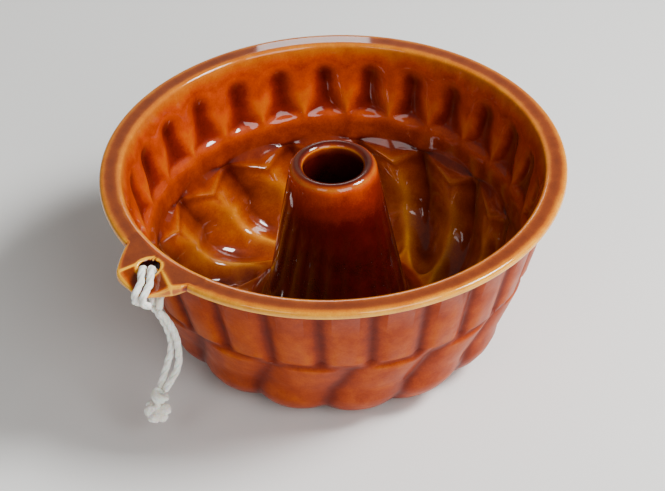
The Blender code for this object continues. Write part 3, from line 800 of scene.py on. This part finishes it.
# Beaked heads under the step, and the ridges and troughs that run down from them and over the floor
def addInnerLobes():
    root = lobes["headRoot"]
    waist = mould["haunchHeight"] + 4
    headAt = 0.5 * np.clip((np.abs(lobeAt) - lobes["headGap"]) / (0.5 - lobes["headGap"]), 0, 1)
    fall = lobes["headDrop"] * beak(headAt)
    jut = lobes["headJut"] * (2 * headAt) ** 0.75
    crown = root + lobes["headRise"] * arch(headAt)
    addRow(insideRadius(root + 8), root + 8, tone=0.46, ochre=0.3)
    addRow(insideRadius(crown + 1.6), crown + 1.6, tone=0.44, ochre=0.4)
    brow = root - 0.3 - fall
    browRadius = insideRadius(root - 0.3) - 0.07 * fall - jut
    crownRadius = insideRadius(crown)
    # painted shade: darker at the corners between the heads and down the troughs below them
    paintedTroughShade = 0.2 * (1 - 2 * headAt) ** 2
    for share, tone in ((0.03, 0.42), (0.16, 0.4), (0.5, 0.42), (0.8, 0.52)):
        addRow(crownRadius + share * (browRadius - crownRadius), crown + share * (brow - crown),
               share * swirlAt(browRadius, brow), tone - paintedTroughShade, 0.5)
    addRow(browRadius + 0.12 * jut, brow - 0.25, swirlAt(browRadius, brow), 0.56 - paintedTroughShade, 0.8)
    for drop in (0.9, 1.8, 3.0):
        settled = smoothStep(drop, 0, 3.0)
        radius = insideRadius(root - 0.3 - drop) - 0.07 * fall - (1 - settled) * jut - settled * lobeRise(1.0)
        addRow(radius, brow - drop, swirlAt(radius, brow - drop), 0.56 - 0.02 * drop - paintedTroughShade, 0.6)
    for share in (0.33, 0.67, 1.0):
        height = brow - 3.0 + share * (waist - brow + 3.0)
        start = insideRadius(root - 3.3) - 0.07 * fall
        radius = start + share * (insideRadius(waist) - start) - lobeRise(1.0 + 0.2 * share)
        addRow(radius, height, swirlAt(radius, height), 0.62 - 1.2 * paintedTroughShade, 0.65)
    for turn in (0.0, 0.13, 0.26, 0.39, 0.52, 0.65, 0.78, 0.9):
        angle = turn * math.pi / 2
        radius, height = haunchPoint(turn, mould["wall"], mould["floor"])
        rise = lobeRise(1.2 + 0.9 * turn)
        radius, height = radius - rise * math.cos(angle), height + rise * math.sin(angle)
        addRow(radius, height, swirlAt(radius, height), 0.63 - 0.8 * paintedTroughShade, 0.65)
    top = mould["floor"] + lobes["raised"]
    end = lobes["troughEnd"] + lobes["troughFlare"] * (2 * np.abs(lobeAt)) ** 2.5
    for radius in (55.3, 53.4, 51.6, 50.0, 48.6, 47.3, 46.1, 44.8):
        opened = smoothStep(radius, end - 1.5, end + 3.8)
        addRow(radius, top - opened * (lobes["raised"] - lobeRise(2.1)), swirlAt(radius, 0), 0.62, 0.65)


# Up the tube, over its lip, down its bore and out under the floor to the foot ring
def addTube():
    foot = tube["footRadius"]
    start = mould["floor"] + lobes["raised"]
    # painted shade: darker round the tube's foot, down in the ring
    for share, lift, tone in ((1.1, 0.35, 0.42), (0.75, 1.2, 0.32), (0.42, 3.0, 0.2), (0.15, 5.2, 0.11)):
        radius = foot + share * tube["flare"]
        addRow(radius, start + lift, swirlAt(radius, 0), tone, 0.3)
    swirl = swirlAt(foot, 0)
    # painted shade: the tube darkens from its lit lip down to its foot
    for height, tone in ((tube["footHeight"], 0.07), (52.0, 0.05), (73.0, 0.14), (82.0, 0.3),
                         (tube["top"] - 2 * tube["lip"], 0.46), (tube["top"] - tube["lip"], 0.46)):
        addRow(tubeRadius(height), height, swirl, tone)
    bore = tube["topRadius"] - tube["wall"]
    crown = (tube["topRadius"] + bore) / 2
    half = tube["wall"] / 2
    for turn, tone in ((22, 0.52), (48, 0.42), (76, 0.14), (104, 0.12), (132, 0.3), (158, 0.8), (180, 0.5)):
        angle = math.radians(turn)
        height = tube["top"] - tube["lip"] * (1 - math.sin(angle))
        addRow(crown + half * math.cos(angle), height, swirl, tone, 0.6)
    # painted shade: the bore darkens downward
    for height, tone in ((88.5, 0.26), (76.0, 0.1), (tube["footHeight"], 0.05)):
        share = (tube["top"] - height) / (tube["top"] - tube["footHeight"])
        addRow(tubeRadius(height) - tube["wall"], height, swirl * (1 - 0.5 * share), tone)
    hollow = foot - tube["wall"]
    ring = mould["footRadius"] - mould["footWidth"]
    for turn in (0.3, 0.6, 0.88):
        angle = turn * math.pi / 2
        addRow(hollow + (ring - hollow) * (1 - math.cos(angle)), tube["footHeight"] * (1 - math.sin(angle)),
               np.interp(turn, (0, 1), (0.5 * swirl, footSwirl())), 0.3)


def verticesOf(piece):
    place = np.empty(len(piece.data.vertices) * 3)
    piece.data.vertices.foreach_get("co", place)
    return place.reshape(-1, 3)


# A grid sheet whose columns go round the axis and whose rows follow the wall's section
def makeShell():
    across, down = mould["columns"], len(rows)
    bpy.ops.mesh.primitive_grid_add(x_subdivisions=across, y_subdivisions=down, size=1)
    shell = bpy.context.object
    shell.name = "flutedMould"
    flat = verticesOf(shell)
    col = np.rint((flat[:, 0] + 0.5) * across).astype(int) % across
    row = np.rint((flat[:, 1] + 0.5) * down).astype(int) % down
    radius, height, swirl, tone, ochre, shine = np.array(rows).transpose(1, 0, 2)[:, row, col]
    turn = np.radians(flutes["phase"] + col * 360 / across - swirl)
    placed = np.column_stack([axisX + mm * radius * np.cos(turn), mm * radius * np.sin(turn), mm * height])
    shell.data.vertices.foreach_set("co", placed.ravel())
    for name, values in (("glazeToneAndShade", tone), ("glazeOchre", ochre), ("glazeShine", shine)):
        shell.data.attributes.new(name, "FLOAT", "POINT").data.foreach_set("value", values)
    pick(shell)
    bpy.ops.object.mode_set(mode="EDIT")
    bpy.ops.mesh.select_all(action="SELECT")
    bpy.ops.mesh.remove_doubles(threshold=1e-6)
    bpy.ops.mesh.normals_make_consistent(inside=False)
    bpy.ops.object.mode_set(mode="OBJECT")
    return shell


# Whether each place is on the lug's side of the mould, between its two sides
def overLug(place, start, halfWidth):
    return (place[:, 0] < axisX - start * mm) & (np.abs(place[:, 1]) < halfWidth * mm)


def fromAxis(place):
    return np.hypot(place[:, 0] - axisX, place[:, 1]) / mm


# Depth of the gutter under the lug's top, and distance from the hole's axis, at each place
def gutterDepth(place):
    hole = Vector((-mould["rimRadius"] - lug["holeFromRim"], lug["holeAlong"]))
    turn = math.radians(180 + lug["gutterTurn"])
    out = Vector((math.cos(turn), math.sin(turn)))
    back = hole - out * (lug["hole"] + lug["gutterBack"])
    dip = math.atan2(lug["gutterDrop"], lug["reach"] - lug["holeFromRim"] + lug["hole"] + lug["gutterBack"])
    half = math.atan2(1 / math.cos(math.radians(lug["gutterSpread"])) - math.cos(dip), math.sin(dip))
    x = (place[:, 0] - axisX) / mm - back.x
    y = place[:, 1] / mm - back.y
    ahead = x * out.x + y * out.y
    depth = (ahead * math.cos(half - dip) - math.cos(half) * np.hypot(x, y)) / math.sin(half - dip)
    fromHole = np.hypot(x + back.x - hole.x, y + back.y - hole.y)
    return depth, fromHole


# Dishes the lug's top into its gutter and rounds the mouth of its hole, on a finer mesh
def shapeLug(shell):
    pick(shell)
    place = verticesOf(shell)
    near = overLug(place, *lug["patch"]) & (fromAxis(place) > lug["patchEdge"]) & (
        place[:, 2] > (mould["height"] - lug["thickness"] + 0.3) * mm)
    bpy.ops.object.mode_set(mode="EDIT")      # the vertices alone are picked, so edges and faces go first
    bpy.ops.mesh.select_mode(type="VERT")
    bpy.ops.mesh.select_all(action="DESELECT")
    bpy.ops.object.mode_set(mode="OBJECT")
    shell.data.vertices.foreach_set("select", near)
    bpy.ops.object.mode_set(mode="EDIT")
    bpy.ops.mesh.subdivide(number_cuts=3)
    bpy.ops.object.mode_set(mode="OBJECT")
    place = verticesOf(shell)
    depth, fromHole = gutterDepth(place)
    depth = 0.5 * (depth + np.sqrt(depth ** 2 + 0.02))      # none above the top, with a soft edge
    lip = np.clip((lug["hole"] + lug["holeRound"] - fromHole) / lug["holeRound"], 0, 1)
    depth += lug["holeRound"] * (1 - np.sqrt(np.maximum(0, 1 - lip ** 2)))
    under = mould["height"] - lug["thickness"]
    level = np.clip((place[:, 2] / mm - under) / lug["thickness"], 0, 1)
    place[:, 2] -= depth * level * overLug(place, *lug["patch"]) * mm
    shell.data.vertices.foreach_set("co", place.ravel())
    bpy.ops.mesh.primitive_cylinder_add(
        vertices=64, radius=lug["hole"] * mm, depth=0.03, location=(
            axisX - (mould["rimRadius"] + lug["holeFromRim"]) * mm, lug["holeAlong"] * mm,
            (mould["height"] - 3) * mm))
    hole = bpy.context.object
    cut = shell.modifiers.new("lugHole", "BOOLEAN")
    cut.operation = "DIFFERENCE"
    cut.solver = "EXACT"
    cut.object = hole
    applyModifiers(shell)
    bpy.data.objects.remove(hole)


# How far the glaze's tone rises where it ran thin and falls where it pooled, and the painted shade down the
# lug's hole; sizes in millimetres
glazeRun = {
    # the rim's edges, from 92 mm up, are raised most: thin glaze there, and a painted highlight as well
    "edges": ((5, 0.3), (20, 0.42), (36, 0.42), (41, 0.46), (50, 0.3), (60, 0.18), (90, 0.16), (92, 0.7)),
    "edgeBend": 0.24,        # outward bend that gives the edges' values above, by height, nearly in full
    "hollow": -0.24,
    "hollowBend": 0.3,
    "spread": 4,             # rounds of averaging with the neighbours
    "crease": 0.42,          # along the gutter's sides on the lug
    "creaseWidth": 0.24,
    "ring": 0.5,             # round the mouth of the hole
    "ringRadius": 5.6,
    "ringWidth": 0.75,
    # painted shade inside the lug's hole, at its top and deeper at its foot
    "shadedBoreTop": -0.25,
    "shadedBoreFoot": -0.45,
    "most": 0.7,
}


# How sharply the surface bends outward at each vertex, spread a little along it
def bending(mesh, place):
    count = len(mesh.vertices)
    normal = np.empty(count * 3)
    mesh.vertices.foreach_get("normal", normal)
    normal = normal.reshape(-1, 3)
    pairs = np.empty(len(mesh.edges) * 2, dtype=int)
    mesh.edges.foreach_get("vertices", pairs)
    first, second = pairs.reshape(-1, 2).T
    step = place[second] - place[first]
    length = np.maximum(np.linalg.norm(step, axis=1), 1e-5)
    bend = ((normal[second] - normal[first]) * step).sum(axis=1) / length ** 2 * mm
    weight = 1 / length
    total = np.bincount(first, weight, count) + np.bincount(second, weight, count)
    value = (np.bincount(first, bend * weight, count) + np.bincount(second, bend * weight, count)) / total
    near = np.exp(-length / mm)
    for _ in range(glazeRun["spread"]):
        share = np.ones(count) + np.bincount(first, near, count) + np.bincount(second, near, count)
        value = (value + np.bincount(first, near * value[second], count)
                 + np.bincount(second, near * value[first], count)) / share
    return value


# Where the glaze has run thin: over outward edges, the lug's creases and the mouth of its hole; and painted
# shade down the hole's bore
def markGlaze(shell):
    place = verticesOf(shell)
    bend = bending(shell.data, place)
    height = place[:, 2] / mm
    heights, strengths = zip(*glazeRun["edges"])
    edge = np.interp(height, heights, strengths) * (1 - np.exp(-bend / glazeRun["edgeBend"]))
    hollow = glazeRun["hollow"] * (1 - np.exp(bend / glazeRun["hollowBend"]))
    thin = np.where(bend > 0, edge, hollow)
    depth, fromHole = gutterDepth(place)
    onLug = overLug(place, *lug["glazed"]) & (height > 89)
    crease = glazeRun["crease"] * np.exp(-(depth / glazeRun["creaseWidth"]) ** 2)
    crease *= (fromAxis(place) > 101) & (fromHole > 4)
    ring = glazeRun["ring"] * np.exp(-((fromHole - glazeRun["ringRadius"]) / glazeRun["ringWidth"]) ** 2)
    thin += np.maximum(crease, ring) * onLug
    # painted shade: the bore of the lug's hole is darkened, most towards its foot
    bore = onLug & (fromHole < lug["hole"] + 0.06)
    thin[bore] = np.where(height[bore] < 91.2, glazeRun["shadedBoreFoot"], glazeRun["shadedBoreTop"])
    layer = shell.data.attributes.new("glazeThin", "FLOAT", "POINT")
    layer.data.foreach_set("value", np.minimum(thin, glazeRun["most"]))


def makeMould():
    addOuterWall()
    addRim()
    addInnerFlutes()
    addInnerLobes()
    addTube()
    shell = makeShell()
    print("shell made,", len(rows), "rows")
    shapeLug(shell)
    print("lug shaped,", sum(len(face.vertices) - 2 for face in shell.data.polygons), "triangles")
    markGlaze(shell)
    pick(shell)
    bpy.ops.object.shade_smooth_by_angle(angle=math.radians(42))
    shell.data.materials.clear()
    shell.data.materials.append(makeGlaze())
    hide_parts("mould_body")
    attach(shell, "mould")


makeMould()
print("mould made")


# Floor and light

studio = {
    "floorSize": 8,
    "paper": "#efefec",
    "worldStrength": 0.18,
}

bpy.ops.mesh.primitive_plane_add(size=studio["floorSize"])
floor = bpy.context.object
floor.name = "paleFloor"
paper = newMaterial("palePaper", {"Base Color": linear(studio["paper"]), "Roughness": 0.9})[0]
floor.data.materials.append(paper)

world = bpy.data.worlds.new("softStudio")
bpy.context.scene.world = world
world.use_nodes = True
background = world.node_tree.nodes["Background"].inputs
background["Color"].default_value = linear("#ffffff")
background["Strength"].default_value = studio["worldStrength"]

# The sky and the window stand behind the mould, where the rim and the heads mirror them
lamps = {
    "key": {"around": 312.0, "up": 50.0, "distance": 1.3, "size": 0.38, "power": 26.0},
    "fill": {"around": 258.0, "up": 36.0, "distance": 1.5, "size": 0.8, "power": 11.0},
    "card": {"around": 196.0, "up": 42.0, "distance": 1.3, "size": 0.45, "power": 1.7},
    "sky": {"around": 48.0, "up": 39.0, "distance": 1.3, "size": 0.8, "power": 0.8, "colour": "#ffe3bd"},
    "window": {"around": 48.5, "up": 34.0, "distance": 1.3, "size": 0.12, "power": 0.35},
}


def addLamp(name, around, up, distance, size, power, colour="#ffffff"):
    around, up = math.radians(around), math.radians(up)
    away = Vector((math.cos(up) * math.cos(around), math.cos(up) * math.sin(around), math.sin(up)))
    data = bpy.data.lights.new(name, "AREA")
    data.size = size
    data.energy = power
    data.color = linear(colour)[:3]
    lamp = bpy.data.objects.new(name, data)
    bpy.context.collection.objects.link(lamp)
    lamp.location = away * distance
    lamp.rotation_euler = away.to_track_quat("Z", "Y").to_euler()


for name, settings in lamps.items():
    addLamp(name, **settings)
print("studio lit")
